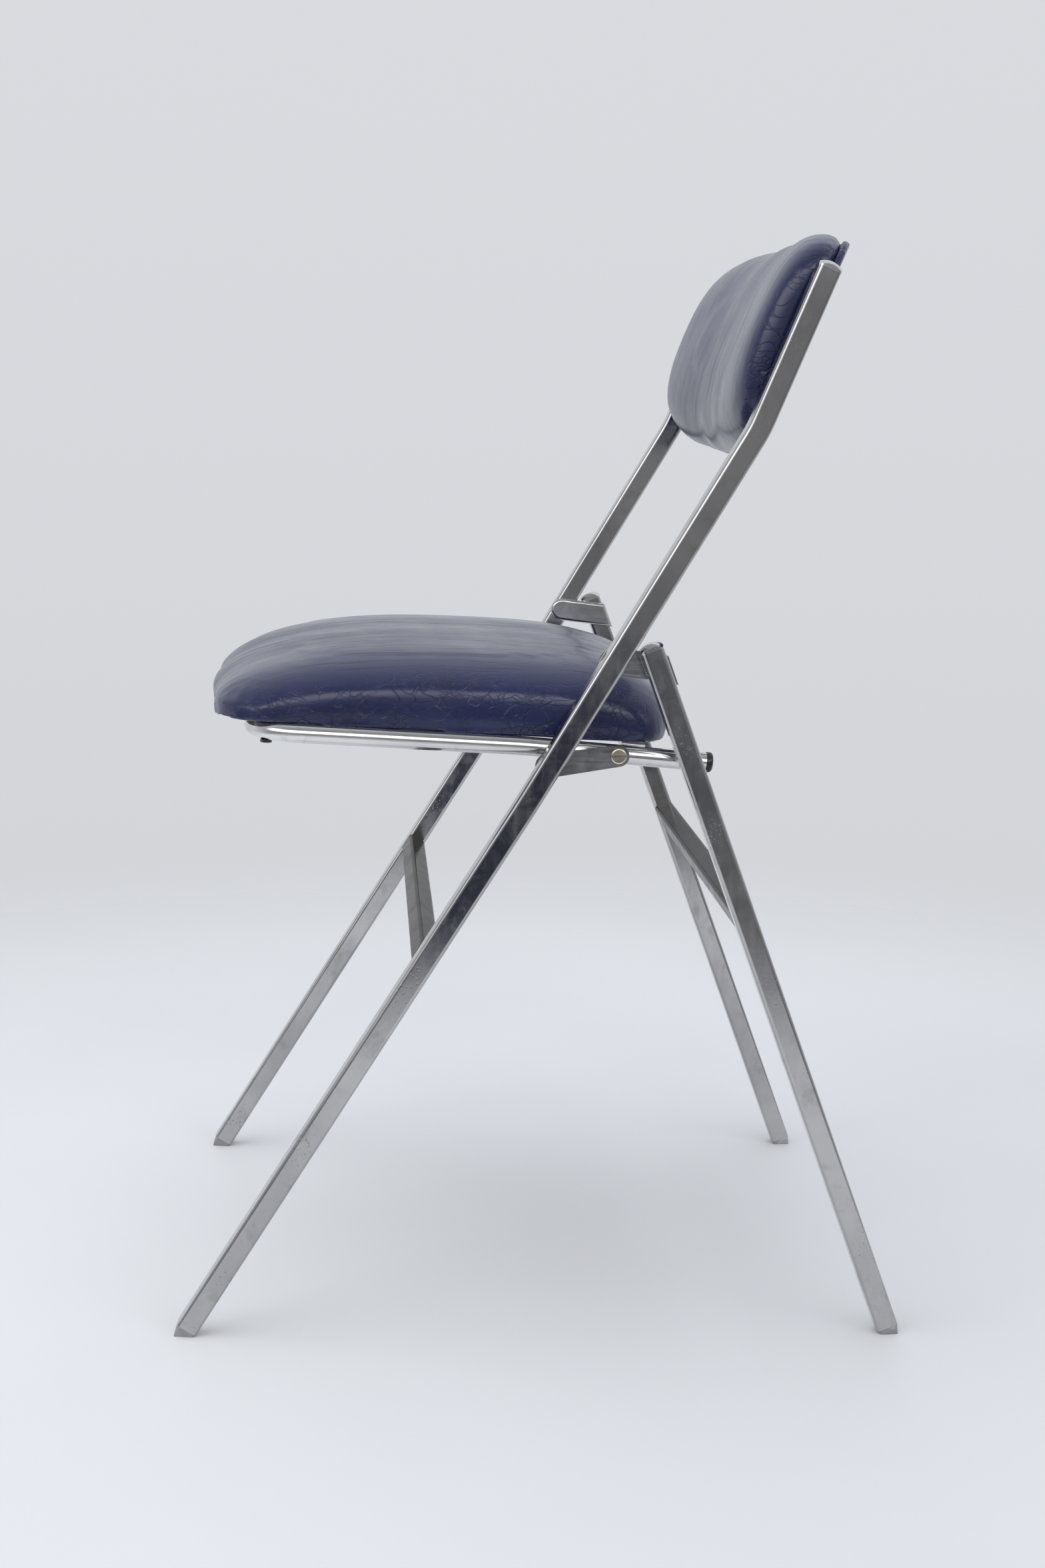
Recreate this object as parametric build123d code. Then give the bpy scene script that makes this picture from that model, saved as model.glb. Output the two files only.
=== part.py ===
from build123d import *
from math import cos, radians, sin, tan
import os

# Folding chair: chromed square-tube frame, padded vinyl seat and backrest. Millimetres.
# X runs across the chair, Y from front to back, Z up. The feet stand on Z = 0 and the chair
# is symmetric about X = 0. It stands open. Outlines of the side view are drawn in (Y, Z).

# ---------------------------------------------------------------- driving dimensions
WIDTH = 397.0                # over the outer faces of the tubes
TUBE = 15.0                  # square tube, outside
TUBE_WALL = 1.5
TUBE_CORNER = 2.5            # outside corner radius
CAP_PROUD = 0.6              # the end cap is this much wider than the tube
CAP_HEIGHT = 5.6
CAP_DOME = 13.0              # radius of its top

FRONT_Y = -244.6             # where the main bar's centreline meets the floor
FRONT_LEAN = 32.12           # degrees from vertical, below the first bend
MID_LEAN = 30.88             # between the bends
BACK_LEAN = 22.4             # above the second bend
BEND_LOW_Z = 373.0
BEND_HIGH_Z = 617.0
BAR_END_Z = 5.0              # height of the centreline at the cut lower end
BAR_TOP_REACH = 108.5        # tube above the second bend, along the bar
BEND_LOW_RADIUS = 900.0
BEND_HIGH_RADIUS = 90.0

REAR_Y = 244.7               # where the rear leg's centreline meets the floor
REAR_LEAN = 20.2             # degrees from vertical, leaning forward
REAR_END_Z = 5.0
REAR_TOP_Z = 474.6           # height of the centreline at the cut upper end

FRONT_BRACE_Z = 266.6        # brace centres, on the tubes' centrelines
REAR_BRACE_Z = 295.0

UPPER_PIVOT_Z = 466.6        # rear frame on main bar
LINK_PIVOT_Z = 396.5         # link on main bar, and rest for the seat tube
SEAT_PIVOT_Z = 398.8         # seat tube on rear leg
LINK_RIVET_Y = 50.9          # link on seat tube

SEAT_TUBE = 13.0             # round tube, outside diameter
SEAT_TUBE_WALL = 1.3
SEAT_TUBE_X = 172.8          # side rails' centrelines
SEAT_FRONT_Y = -193.5        # centreline of the front of the U
SEAT_CORNER = 32.0           # plan radius of the U's corners
SEAT_FALL_FRONT = 3.25       # degrees that the rail falls towards the back
SEAT_FALL_BACK = 5.25
SEAT_BEND_Y = -12.0
RAIL_BEND = 400.0            # radius of that slight bend
SEAT_END_Y = 110.0

SEAT_HALF_WIDTH = 176.0
SEAT_PAD_FRONT_Y = -228.0
SEAT_PAD_BACK_Y = 89.0
SEAT_BOARD = 9.0
SEAT_BOARD_INSET = 5.0       # the pad wraps the board's edge
SEAT_CROWN = 53.2            # top of the cushion above the board's underside
SEAT_BOW = 6.6               # how far the middle of the front edge stands forward
SEAT_CREST = 0.59            # place of the highest point, from front to back
SEAT_ROUND_PLAN = 9.0        # powers of the pad's rounding: higher is squarer
SEAT_ROUND_SIDE = 3.75
SEAT_ROUND_FRONT = 2.2
SEAT_ROUND_BACK = 3.4
TAB_X = 159.0                # steel tabs that carry the board's rear screws
TAB_Y = 62.0
TAB_LENGTH = 20.0
TAB_WIDTH = 16.0
TAB_THICK = 4.0
SCREW_TAB_X = 156.0
SCREW_DEPTH = 7.0            # into the board
SCREW_HEAD = 1.9

BACK_HALF_WIDTH = 179.0
BACK_TOP_MID = 146.3         # above the second bend, along the bar
BACK_TOP_SIDE = 133.2
BACK_BOTTOM_MID = -12.8
BACK_BOTTOM_SIDE = 0.0
BACK_CORNER = 36.0
BACK_HOLLOW = 20.0           # how far the middle lies behind the sides
BACK_BOARD = 8.0
BACK_BOARD_INSET = 6.0
BACK_CROWN = 36.2            # front of the cushion above the board's back
BACK_REAR_PLAY = 1.0          # between the pad's rear edge and the steel rails
BACK_ROUND_PLAN = 6.7
BACK_ROUND_SIDE = 4.1
BACK_ROUND_UP = 2.5
BACK_PANEL = 5.0
BACK_GROOVE = 2.0            # room for the rails between board and rear panel
RAIL_LOW = 30.0              # heights of the steel rails above the second bend
RAIL_HIGH = 88.0
RAIL_TALL = 22.0

PLAY = 0.3                   # between parts of different bodies
SIDE_PLAY = 0.1              # between flat faces that turn on one another
FIT = 0.05                   # radial running fit of a pin in its hole
PIN = 8.0
RIVET = 6.0
RIVET_HEAD = 5.4             # radius
LINK_THICK = 2.2
WASHER = 1.6
BRACKET_WALL = 1.5
BRACKET_HALF = 9.0           # half the bracket's height
BRACKET_FALL = 7.0           # degrees that it falls towards the back
BRACKET_WRAP = 9.0           # how far it wraps over the leg's rear face
LINK_END_FRONT = 8.1         # radii of the link's rounded ends
LINK_END_BACK = 7.2

PAD_CUTS = (0.985, 0.94, 0.86, 0.72, 0.45)     # sections of a pad, as shares of its half width
PAD_STEPS = (1.0, 0.985, 0.93, 0.8, 0.5)       # points of a section, as shares of its half length

# ---------------------------------------------------------------- derived places
BAR_X = WIDTH / 2 - TUBE / 2              # centre planes of all square tubes
INNER_X = WIDTH / 2 - TUBE                # their inner faces
LINK_OUT_X = INNER_X - WASHER - SIDE_PLAY
LINK_IN_X = LINK_OUT_X - LINK_THICK
RAIL_OUT_X = SEAT_TUBE_X + SEAT_TUBE / 2
RAIL_IN_X = SEAT_TUBE_X - SEAT_TUBE / 2
BRACKET_IN_X = RAIL_OUT_X + PLAY


def slope(lean):
    return tan(radians(lean))


def bar_y(z):
    """Y of the main bar's centreline at height z."""
    low = FRONT_Y + z * slope(FRONT_LEAN)
    if z <= BEND_LOW_Z:
        return low
    knee = FRONT_Y + BEND_LOW_Z * slope(FRONT_LEAN)
    if z <= BEND_HIGH_Z:
        return knee + (z - BEND_LOW_Z) * slope(MID_LEAN)
    return bar_y(BEND_HIGH_Z) + (z - BEND_HIGH_Z) * slope(BACK_LEAN)


def leg_y(z):
    """Y of the rear leg's centreline at height z."""
    return REAR_Y - z * slope(REAR_LEAN)


SEAT_PIVOT = (leg_y(SEAT_PIVOT_Z), SEAT_PIVOT_Z)


def rail_z(y):
    """Z of the seat rail's centreline at y."""
    back = SEAT_PIVOT[1] - (SEAT_BEND_Y - SEAT_PIVOT[0]) * slope(SEAT_FALL_BACK)
    if y >= SEAT_BEND_Y:
        return SEAT_PIVOT[1] - (y - SEAT_PIVOT[0]) * slope(SEAT_FALL_BACK)
    return back - (y - SEAT_BEND_Y) * slope(SEAT_FALL_FRONT)


UPPER_PIVOT = (bar_y(UPPER_PIVOT_Z), UPPER_PIVOT_Z)
LINK_PIVOT = (bar_y(LINK_PIVOT_Z), LINK_PIVOT_Z)
LINK_RIVET = (LINK_RIVET_Y, rail_z(LINK_RIVET_Y))
BACK_ORIGIN = (bar_y(BEND_HIGH_Z), BEND_HIGH_Z)

def keep(name, shape):
    """Name one sub-part and write its STEP file."""
    shape.label = name
    export_step(shape, f"parts/{name}.step")


def keep_pair(name, shape):
    """The shape stands on the +X side, which is the sitter's left."""
    keep(f"{name}_left", shape)
    keep(f"{name}_right", mirror(shape, about=Plane.YZ))


# ---------------------------------------------------------------- small builders
def side_plane(point, lean, x=0.0):
    """Plane square to a tube in the side view: its normal points up along the tube."""
    y, z = point
    a = radians(lean)
    return Plane(origin=(x, y, z), x_dir=(1, 0, 0), z_dir=(0, sin(a), cos(a)))


def across(point, x_from, x_to, radius, hole=0.0):
    """Cylinder along X through a point of the side view, between two X values."""
    y, z = point
    base = Plane(origin=(x_from, y, z), z_dir=(1, 0, 0))
    solid = extrude(base * Circle(radius), x_to - x_from)
    if hole:
        solid -= extrude(base * Circle(hole), x_to - x_from)
    return solid


def square_section(plane, hollow=True):
    section = RectangleRounded(TUBE, TUBE, TUBE_CORNER)
    if hollow:
        inner = TUBE - 2 * TUBE_WALL
        section -= RectangleRounded(inner, inner, TUBE_CORNER - TUBE_WALL)
    return plane * section


def bored(tube, point, radius):
    """Hole through the tube's inner wall only, along X."""
    return tube - across(point, INNER_X - 1, INNER_X + TUBE_WALL + 1, radius)


def dome_cap(point, lean):
    """Pressed chrome cap: a short skirt and a domed top, standing on a cut tube end."""
    plane = side_plane(point, lean, BAR_X)
    skirt = RectangleRounded(TUBE + CAP_PROUD, TUBE + CAP_PROUD, TUBE_CORNER + CAP_PROUD / 2)
    dome = plane * Pos(0, 0, CAP_HEIGHT - CAP_DOME) * Sphere(CAP_DOME)
    spigot = TUBE - 2 * TUBE_WALL
    plug = extrude(plane * RectangleRounded(spigot, spigot, 1.0), -12)
    return (extrude(plane * skirt, CAP_HEIGHT + 1) & dome) + plug


def foot_plug(point, lean):
    """Plastic glide pushed into the lower end, worn flat where it meets the floor."""
    plane = side_plane(point, lean, BAR_X)
    spigot = TUBE - 2 * TUBE_WALL
    plug = extrude(plane * RectangleRounded(spigot, spigot, 1.0), 14)
    plug += extrude(plane * RectangleRounded(TUBE - 0.4, TUBE - 0.4, TUBE_CORNER), -1.2)
    low = plane.offset(-1.2)
    plug += extrude(low * RectangleRounded(TUBE - 0.8, TUBE - 0.8, TUBE_CORNER), -8, taper=14)
    floor = Pos(BAR_X, point[0], -20) * Box(60, 60, 40)
    return plug - floor


# ---------------------------------------------------------------- main frame
def main_bar():
    low = (bar_y(BAR_END_Z), BAR_END_Z)
    bend_low = (bar_y(BEND_LOW_Z), BEND_LOW_Z)
    top_z = BEND_HIGH_Z + BAR_TOP_REACH * cos(radians(BACK_LEAN))
    corners = [low, bend_low, BACK_ORIGIN, (bar_y(top_z), top_z)]
    path = FilletPolyline(*[(BAR_X, y, z) for y, z in corners], radius=[BEND_LOW_RADIUS, BEND_HIGH_RADIUS])
    start = side_plane(low, FRONT_LEAN, BAR_X)
    bar = sweep(square_section(start), path=path)
    bar = bored(bar, UPPER_PIVOT, PIN / 2)
    return bored(bar, LINK_PIVOT, PIN / 2)


def brace(center, lean):
    """Square tube between the inner faces, turned to lie flush with its legs."""
    y, z = center
    plane = Plane(origin=(-INNER_X, y, z), x_dir=(0, cos(radians(lean)), -sin(radians(lean))),
                  z_dir=(1, 0, 0))
    return extrude(square_section(plane), 2 * INNER_X)


def make_main_frame():
    keep_pair("main_bar", main_bar())
    keep("front_cross_brace", brace((bar_y(FRONT_BRACE_Z), FRONT_BRACE_Z), FRONT_LEAN))
    top_z = BEND_HIGH_Z + BAR_TOP_REACH * cos(radians(BACK_LEAN))
    keep_pair("upright_cap", dome_cap((bar_y(top_z), top_z), BACK_LEAN))
    keep_pair("front_foot", foot_plug((bar_y(BAR_END_Z), BAR_END_Z), FRONT_LEAN))
    keep_pair("upper_pivot_stud", across(UPPER_PIVOT, BRACKET_IN_X + BRACKET_WALL + PLAY, BAR_X, PIN / 2))
    keep_pair("link_pivot_pin", across(LINK_PIVOT, RAIL_IN_X, BAR_X, PIN / 2))
    keep_pair("link_washer", across(LINK_PIVOT, INNER_X - WASHER, INNER_X, 7.0, PIN / 2))


# ---------------------------------------------------------------- pads
def rounding(u, power):
    """1 in the middle and 0 at u = 1 or -1; a higher power keeps it fuller on the way."""
    return max(1 - abs(u) ** power, 0) ** (1 / power)


def pad_steps():
    return [-t for t in PAD_STEPS] + [0] + list(reversed(PAD_STEPS))


def pad_solid(base, half_width, section):
    """Loft across the chair; section(s) lists the profile's points as (along, height)."""
    faces = []
    for s in [-c for c in PAD_CUTS] + [0] + list(reversed(PAD_CUTS)):
        plane = Plane(origin=base.origin + base.x_dir * (s * half_width), x_dir=base.y_dir, z_dir=base.x_dir)
        points = section(s)
        faces.append(plane * make_face(Spline(*points) + Line(points[-1], points[0])))
    return loft(faces)


# ---------------------------------------------------------------- backrest
def back_plane():
    """Origin at the second bend: x across, y up along the bar, z towards the sitter."""
    a = radians(BACK_LEAN)
    return Plane(origin=(0, *BACK_ORIGIN), x_dir=(1, 0, 0), z_dir=(0, -cos(a), sin(a)))


def back_outline(inset=0.0):
    """Front view of the backrest: bowed top and bottom edges, rounded corners."""
    half = BACK_HALF_WIDTH - inset
    top_side, top_mid = BACK_TOP_SIDE - inset, BACK_TOP_MID - inset
    low_side, low_mid = BACK_BOTTOM_SIDE + inset, BACK_BOTTOM_MID + inset
    edge = ThreePointArc((-half, top_side), (0, top_mid), (half, top_side))
    edge += Line((half, top_side), (half, low_side))
    edge += ThreePointArc((half, low_side), (0, low_mid), (-half, low_side))
    edge += Line((-half, low_side), (-half, top_side))
    face = make_face(edge)
    return fillet(face.vertices(), BACK_CORNER - inset)


def hollow_band(z_back, thick):
    """Band across the chair that follows the backrest's hollow, tall enough for any outline."""
    def rise(z):
        return ((-INNER_X, z), (0, z - BACK_HOLLOW), (INNER_X, z))
    back, front = rise(z_back), rise(z_back + thick)
    edge = ThreePointArc(*back) + Line(back[2], front[2])
    edge += ThreePointArc(*front) + Line(front[0], back[0])
    plan = back_plane() * Plane(origin=(0, BACK_BOTTOM_MID - 20, 0), x_dir=(1, 0, 0), z_dir=(0, -1, 0))
    return extrude(plan * make_face(edge), -(BACK_TOP_MID - BACK_BOTTOM_MID + 40))


def back_slab(z_back, thick, inset=0.0):
    """Piece of the hollow band cut to the backrest's outline."""
    column = extrude(back_plane().offset(-60) * back_outline(inset), 140)
    return hollow_band(z_back, thick) & column


def back_rail(height):
    """Flat steel rail between the uprights, behind the board."""
    band = hollow_band(-BACK_GROOVE, BACK_GROOVE)
    window = extrude(back_plane().offset(-60) * Pos(0, height) * Rectangle(2 * INNER_X, RAIL_TALL), 140)
    return band & window


def back_screws():
    """Four flat-headed screws from the rails into the board."""
    screws = []
    for x in (-120, 120):
        for height in (RAIL_LOW, RAIL_HIGH):
            drop = BACK_HOLLOW * (1 - (x / INNER_X) ** 2)
            at = back_plane() * Pos(x, height, -BACK_GROOVE - drop)
            screws.append(at * (Pos(0, 0, -0.4) * Cylinder(4.0, 0.8) + Pos(0, 0, 4.0) * Cylinder(1.8, 8.0)))
    return screws


def back_cushion():
    """Pad in front of the board, wrapped over the board's edge and hollow across."""
    def section(s):
        top = BACK_TOP_MID - (BACK_TOP_MID - BACK_TOP_SIDE) * s ** 2
        low = BACK_BOTTOM_MID - (BACK_BOTTOM_MID - BACK_BOTTOM_SIDE) * s ** 2
        reach = (top - low) / 2 * rounding(s, BACK_ROUND_PLAN)
        drop = BACK_HOLLOW * (1 - (s * BACK_HALF_WIDTH / INNER_X) ** 2)
        crown = BACK_CROWN * rounding(s, BACK_ROUND_SIDE)
        rear = BACK_REAR_PLAY - drop
        return [((top + low) / 2 + reach * t, rear + crown * rounding(t, BACK_ROUND_UP)) for t in pad_steps()]
    return pad_solid(back_plane(), BACK_HALF_WIDTH, section)


def make_backrest():
    board = back_slab(0, BACK_BOARD, inset=BACK_BOARD_INSET)
    pad = back_cushion() - board
    panel = back_slab(-BACK_GROOVE - BACK_PANEL, BACK_PANEL, inset=1.5)
    rails = [back_rail(RAIL_LOW), back_rail(RAIL_HIGH)]
    for screw in back_screws():
        board -= screw
        panel -= screw
        rails = [rail - screw for rail in rails]
    keep("backrest_board", board)
    keep("backrest_cushion", pad)
    keep("backrest_rear_panel", panel)
    keep("backrest_rail_lower", rails[0])
    keep("backrest_rail_upper", rails[1])
    keep("backrest_screws", Compound(children=back_screws()))


# ---------------------------------------------------------------- rear frame
def rear_leg():
    low = (leg_y(REAR_END_Z), REAR_END_Z)
    length = (REAR_TOP_Z - REAR_END_Z) / cos(radians(REAR_LEAN))
    leg = extrude(square_section(side_plane(low, -REAR_LEAN, BAR_X)), length)
    return bored(leg, SEAT_PIVOT, PIN / 2)


def behind_leg(distance):
    """Everything more than this far behind the rear leg's centreline."""
    plane = side_plane((leg_y(UPPER_PIVOT_Z), UPPER_PIVOT_Z), -REAR_LEAN, INNER_X)
    return plane * Pos(0, distance + 50, 0) * Box(100, 100, 300)


def bracket_prism(x_from, x_to, inset=0.0):
    """Bracket's side view, round in front and running on past the leg, between two X values."""
    y, z = UPPER_PIVOT
    a = radians(BRACKET_FALL)
    plane = Plane(origin=(x_from, y, z), x_dir=(0, cos(a), -sin(a)), z_dir=(1, 0, 0))
    half = BRACKET_HALF - inset
    outline = Circle(half) + Pos(40, 0) * Rectangle(80, 2 * half)
    return extrude(plane * outline, x_to - x_from)


def pivot_bracket():
    """Pressed cover plate: hollow towards the tubes, its back edge wrapped over the leg."""
    rim_x, bend = INNER_X - PLAY, 2.5
    shell = bracket_prism(BRACKET_IN_X, rim_x) - behind_leg(TUBE / 2 + BRACKET_WALL)
    shell = fillet(shell.faces().sort_by(Axis.X)[0].edges(), bend)
    inside = bracket_prism(BRACKET_IN_X + BRACKET_WALL, rim_x + 1, BRACKET_WALL)
    shell -= inside - behind_leg(TUBE / 2)
    wrap = bracket_prism(rim_x - 1.0, INNER_X + BRACKET_WRAP) & behind_leg(TUBE / 2)
    return shell + (wrap - behind_leg(TUBE / 2 + BRACKET_WALL))


def make_rear_frame():
    keep_pair("rear_leg", rear_leg())
    keep("rear_cross_brace", brace((leg_y(REAR_BRACE_Z), REAR_BRACE_Z), -REAR_LEAN))
    keep_pair("rear_leg_cap", dome_cap((leg_y(REAR_TOP_Z), REAR_TOP_Z), -REAR_LEAN))
    keep_pair("rear_foot", foot_plug((leg_y(REAR_END_Z), REAR_END_Z), -REAR_LEAN))
    keep_pair("pivot_bracket", pivot_bracket())
    bush = across(UPPER_PIVOT, BRACKET_IN_X + BRACKET_WALL, INNER_X - PLAY, 7.0, PIN / 2 + FIT)
    keep_pair("pivot_bush", bush)
    keep_pair("seat_pivot_stud", across(SEAT_PIVOT, RAIL_OUT_X + PLAY, BAR_X, PIN / 2))


# ---------------------------------------------------------------- seat links
def make_links():
    """Tapered plates between the link pivots and the rivets on the seat rails."""
    base = Plane(origin=(LINK_IN_X, 0, 0), x_dir=(0, 1, 0), z_dir=(1, 0, 0))
    ends = Pos(*LINK_PIVOT) * Circle(LINK_END_FRONT) + Pos(*LINK_RIVET) * Circle(LINK_END_BACK)
    plate = extrude(base * make_hull(ends.edges()), LINK_THICK)
    plate -= across(LINK_PIVOT, LINK_IN_X - 1, LINK_OUT_X + 1, PIN / 2 + FIT)
    plate -= across(LINK_RIVET, LINK_IN_X - 1, LINK_OUT_X + 1, RIVET / 2 + FIT)
    keep_pair("seat_link", plate)


# ---------------------------------------------------------------- seat
def seat_plane(height=0.0):
    """Parallel to the front part of the rails: x across, y towards the back."""
    return side_plane((SEAT_BEND_Y, rail_z(SEAT_BEND_Y)), SEAT_FALL_FRONT).offset(height)


def seat_rail(radius):
    """Solid round bar along the U's centreline."""
    side = [(SEAT_TUBE_X, y, rail_z(y)) for y in (SEAT_END_Y, SEAT_BEND_Y, SEAT_FRONT_Y)]
    other = [(-x, y, z) for x, y, z in reversed(side)]
    path = FilletPolyline(*side, *other, radius=[RAIL_BEND, SEAT_CORNER, SEAT_CORNER, RAIL_BEND])
    a = radians(SEAT_FALL_BACK)
    start = Plane(origin=side[0], x_dir=(1, 0, 0), z_dir=(0, -cos(a), sin(a)))
    return sweep(start * Circle(radius), path=path)


def seat_tube():
    """One round tube bent into a U, open at the back."""
    outer = SEAT_TUBE / 2
    tube = seat_rail(outer) - seat_rail(outer - SEAT_TUBE_WALL)
    for x in (SEAT_TUBE_X, -SEAT_TUBE_X):
        for point, radius in ((LINK_RIVET, RIVET / 2), (SEAT_PIVOT, PIN / 2)):
            tube -= across(point, x - outer - 1, x + outer + 1, radius)
    return tube


def seat_tab():
    """Small steel block welded to the rail, for the rear screw into the board."""
    top = seat_plane(SEAT_TUBE / 2 - TAB_THICK / 2) * Pos(TAB_X, TAB_Y - SEAT_BEND_Y, 0)
    return top * Box(TAB_LENGTH, TAB_WIDTH, TAB_THICK) - seat_rail(SEAT_TUBE / 2)


def tube_plug():
    a = radians(SEAT_FALL_BACK)
    end = Plane(origin=(SEAT_TUBE_X, SEAT_END_Y, rail_z(SEAT_END_Y)), x_dir=(1, 0, 0),
                z_dir=(0, cos(a), -sin(a)))
    head = extrude(end * Circle(SEAT_TUBE / 2 + 0.3), 4.6)
    head = fillet(head.faces().sort_by(Axis(end.origin, end.z_dir))[-1].edges(), 2.4)
    return head + extrude(end * Circle(SEAT_TUBE / 2 - SEAT_TUBE_WALL), -6)


def seat_outline(inset=0.0):
    """Plan of the seat: bowed front edge and rounded corners."""
    half = SEAT_HALF_WIDTH - inset
    front = SEAT_PAD_FRONT_Y - SEAT_BEND_Y + inset
    back = SEAT_PAD_BACK_Y - SEAT_BEND_Y - inset
    side = front + SEAT_BOW
    edge = Polyline((-half, side), (-half, back), (half, back), (half, side))
    edge += ThreePointArc((half, side), (0, front), (-half, side))
    face = make_face(edge)
    corners = face.vertices().sort_by(Axis.Y)
    face = fillet(corners[:2], 42 - inset)
    return fillet(face.vertices().sort_by(Axis.Y)[-2:], 32 - inset)


def seat_board():
    return extrude(seat_plane(SEAT_TUBE / 2) * seat_outline(SEAT_BOARD_INSET), SEAT_BOARD)


def seat_cushion():
    """Crowned pad on the board, wrapped over its edge."""
    def section(s):
        front = SEAT_PAD_FRONT_Y - SEAT_BEND_Y + SEAT_BOW * s ** 2
        back = SEAT_PAD_BACK_Y - SEAT_BEND_Y
        crest = front + (back - front) * SEAT_CREST
        crown = SEAT_CROWN * rounding(s, SEAT_ROUND_SIDE)
        shrink = rounding(s, SEAT_ROUND_PLAN)
        points = []
        for t in pad_steps():
            reach, power = (crest - front, SEAT_ROUND_FRONT) if t < 0 else (back - crest, SEAT_ROUND_BACK)
            points.append((crest + reach * shrink * t, crown * rounding(t, power)))
        return points
    return pad_solid(seat_plane(SEAT_TUBE / 2), SEAT_HALF_WIDTH, section)


def seat_screws():
    """Pan-headed screws up into the board: through the U's corners and through the tabs."""
    inset = SEAT_CORNER * (1 - cos(radians(45)))
    corner = (SEAT_TUBE_X - inset, SEAT_FRONT_Y + inset, -SEAT_TUBE / 2)
    tab = (SCREW_TAB_X, TAB_Y, SEAT_TUBE / 2 - TAB_THICK)
    screws = []
    for x, y, under in (corner, tab):
        for side in (-1, 1):
            foot = seat_plane(under) * Pos(side * x, y - SEAT_BEND_Y, 0)
            length = SEAT_TUBE / 2 + SCREW_DEPTH - under
            head = Pos(0, 0, -SCREW_HEAD / 2) * Cylinder(4.0, SCREW_HEAD)
            screws.append(foot * (head + Pos(0, 0, length / 2) * Cylinder(1.8, length)))
    return screws


def make_seat():
    screws = seat_screws()
    tube, board, tab = seat_tube(), seat_board(), seat_tab()
    for screw in screws:
        tube -= screw
        board -= screw
        tab -= screw
    keep("seat_tube", tube)
    keep_pair("seat_tube_plug", tube_plug())
    keep_pair("seat_tab", tab)
    keep("seat_board", board)
    keep("seat_cushion", seat_cushion() - seat_board())
    keep("seat_screws", Compound(children=screws))
    head = across(LINK_RIVET, LINK_OUT_X, INNER_X - PLAY, RIVET_HEAD)
    head = fillet(head.faces().sort_by(Axis.X)[-1].edges(), 1.1)
    washer = across(LINK_RIVET, RAIL_IN_X - 1.2, RAIL_IN_X, 4.6)
    keep_pair("link_rivet", head + washer + across(LINK_RIVET, RAIL_IN_X - 1.2, LINK_OUT_X, RIVET / 2))
    inner_head = across(SEAT_PIVOT, RAIL_IN_X - 1.4, RAIL_IN_X, RIVET_HEAD)
    inner_head = fillet(inner_head.faces().sort_by(Axis.X)[0].edges(), 1.0)
    keep_pair("seat_pivot_rivet", inner_head + across(SEAT_PIVOT, RAIL_IN_X, RAIL_OUT_X - 0.6, PIN / 2))


os.makedirs("parts", exist_ok=True)
make_main_frame()
make_backrest()
make_rear_frame()
make_links()
make_seat()
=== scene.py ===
"""Folding chair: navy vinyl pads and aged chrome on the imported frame. Metres, Z up."""
import math

import bmesh
import bpy
import numpy as np
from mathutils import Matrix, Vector
from mathutils.bvhtree import BVHTree


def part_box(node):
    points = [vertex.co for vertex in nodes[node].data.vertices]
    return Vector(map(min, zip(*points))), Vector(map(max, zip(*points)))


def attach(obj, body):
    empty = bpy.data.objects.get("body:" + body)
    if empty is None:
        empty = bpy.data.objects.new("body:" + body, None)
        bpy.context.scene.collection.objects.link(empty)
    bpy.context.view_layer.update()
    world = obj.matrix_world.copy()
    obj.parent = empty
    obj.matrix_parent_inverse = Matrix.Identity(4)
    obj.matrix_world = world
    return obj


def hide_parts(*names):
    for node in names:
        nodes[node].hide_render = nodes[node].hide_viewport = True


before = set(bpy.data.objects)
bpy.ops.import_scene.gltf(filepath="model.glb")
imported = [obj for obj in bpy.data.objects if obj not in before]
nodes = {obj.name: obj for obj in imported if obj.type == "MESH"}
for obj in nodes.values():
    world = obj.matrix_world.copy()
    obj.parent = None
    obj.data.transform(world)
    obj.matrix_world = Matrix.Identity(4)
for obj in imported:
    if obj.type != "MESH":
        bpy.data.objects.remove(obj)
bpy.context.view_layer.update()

# ---------------------------------------------------------------- sizes and angles of the frame
SEAT_LOW, SEAT_HIGH = (Vector(v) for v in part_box("seat_cushion"))
BACK_LOW, BACK_HIGH = (Vector(v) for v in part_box("backrest_cushion"))
INNER_X = Vector(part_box("main_bar_left")[0]).x   # inner face of the uprights
LEAN_BAR = math.radians(-31.5)       # turn of the front tubes' grain in the side view
LEAN_LEG = math.radians(20.2)        # and of the rear legs' grain
SEAT_FALL = math.radians(3.25)       # the seat board falls this much towards the back
BACK_LEAN = math.radians(22.4)       # the uprights lean back this much beside the backrest
HOLLOW = 0.020                       # the backrest's middle lies this far behind its sides
SEAT_BOARD = 0.009                   # thickness of the seat board
BACK_BOARD = 0.008                   # thickness of the backrest board

# ---------------------------------------------------------------- colours shared by materials
RUST_BROWN = (0.085, 0.050, 0.030)
RUST_SPOT = (0.09, 0.055, 0.035)
STAIN_BROWN = (0.28, 0.265, 0.235)
NAVY_DARK = (0.0060, 0.0100, 0.050)
NAVY_LIGHT = (0.0100, 0.0155, 0.073)
NAVY_GREYED = (0.019, 0.024, 0.074)
# painted shade: the dark navy put into the crease valleys and the stretch streaks
NAVY_CREASE_SHADE = (0.006, 0.007, 0.022)


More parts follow.
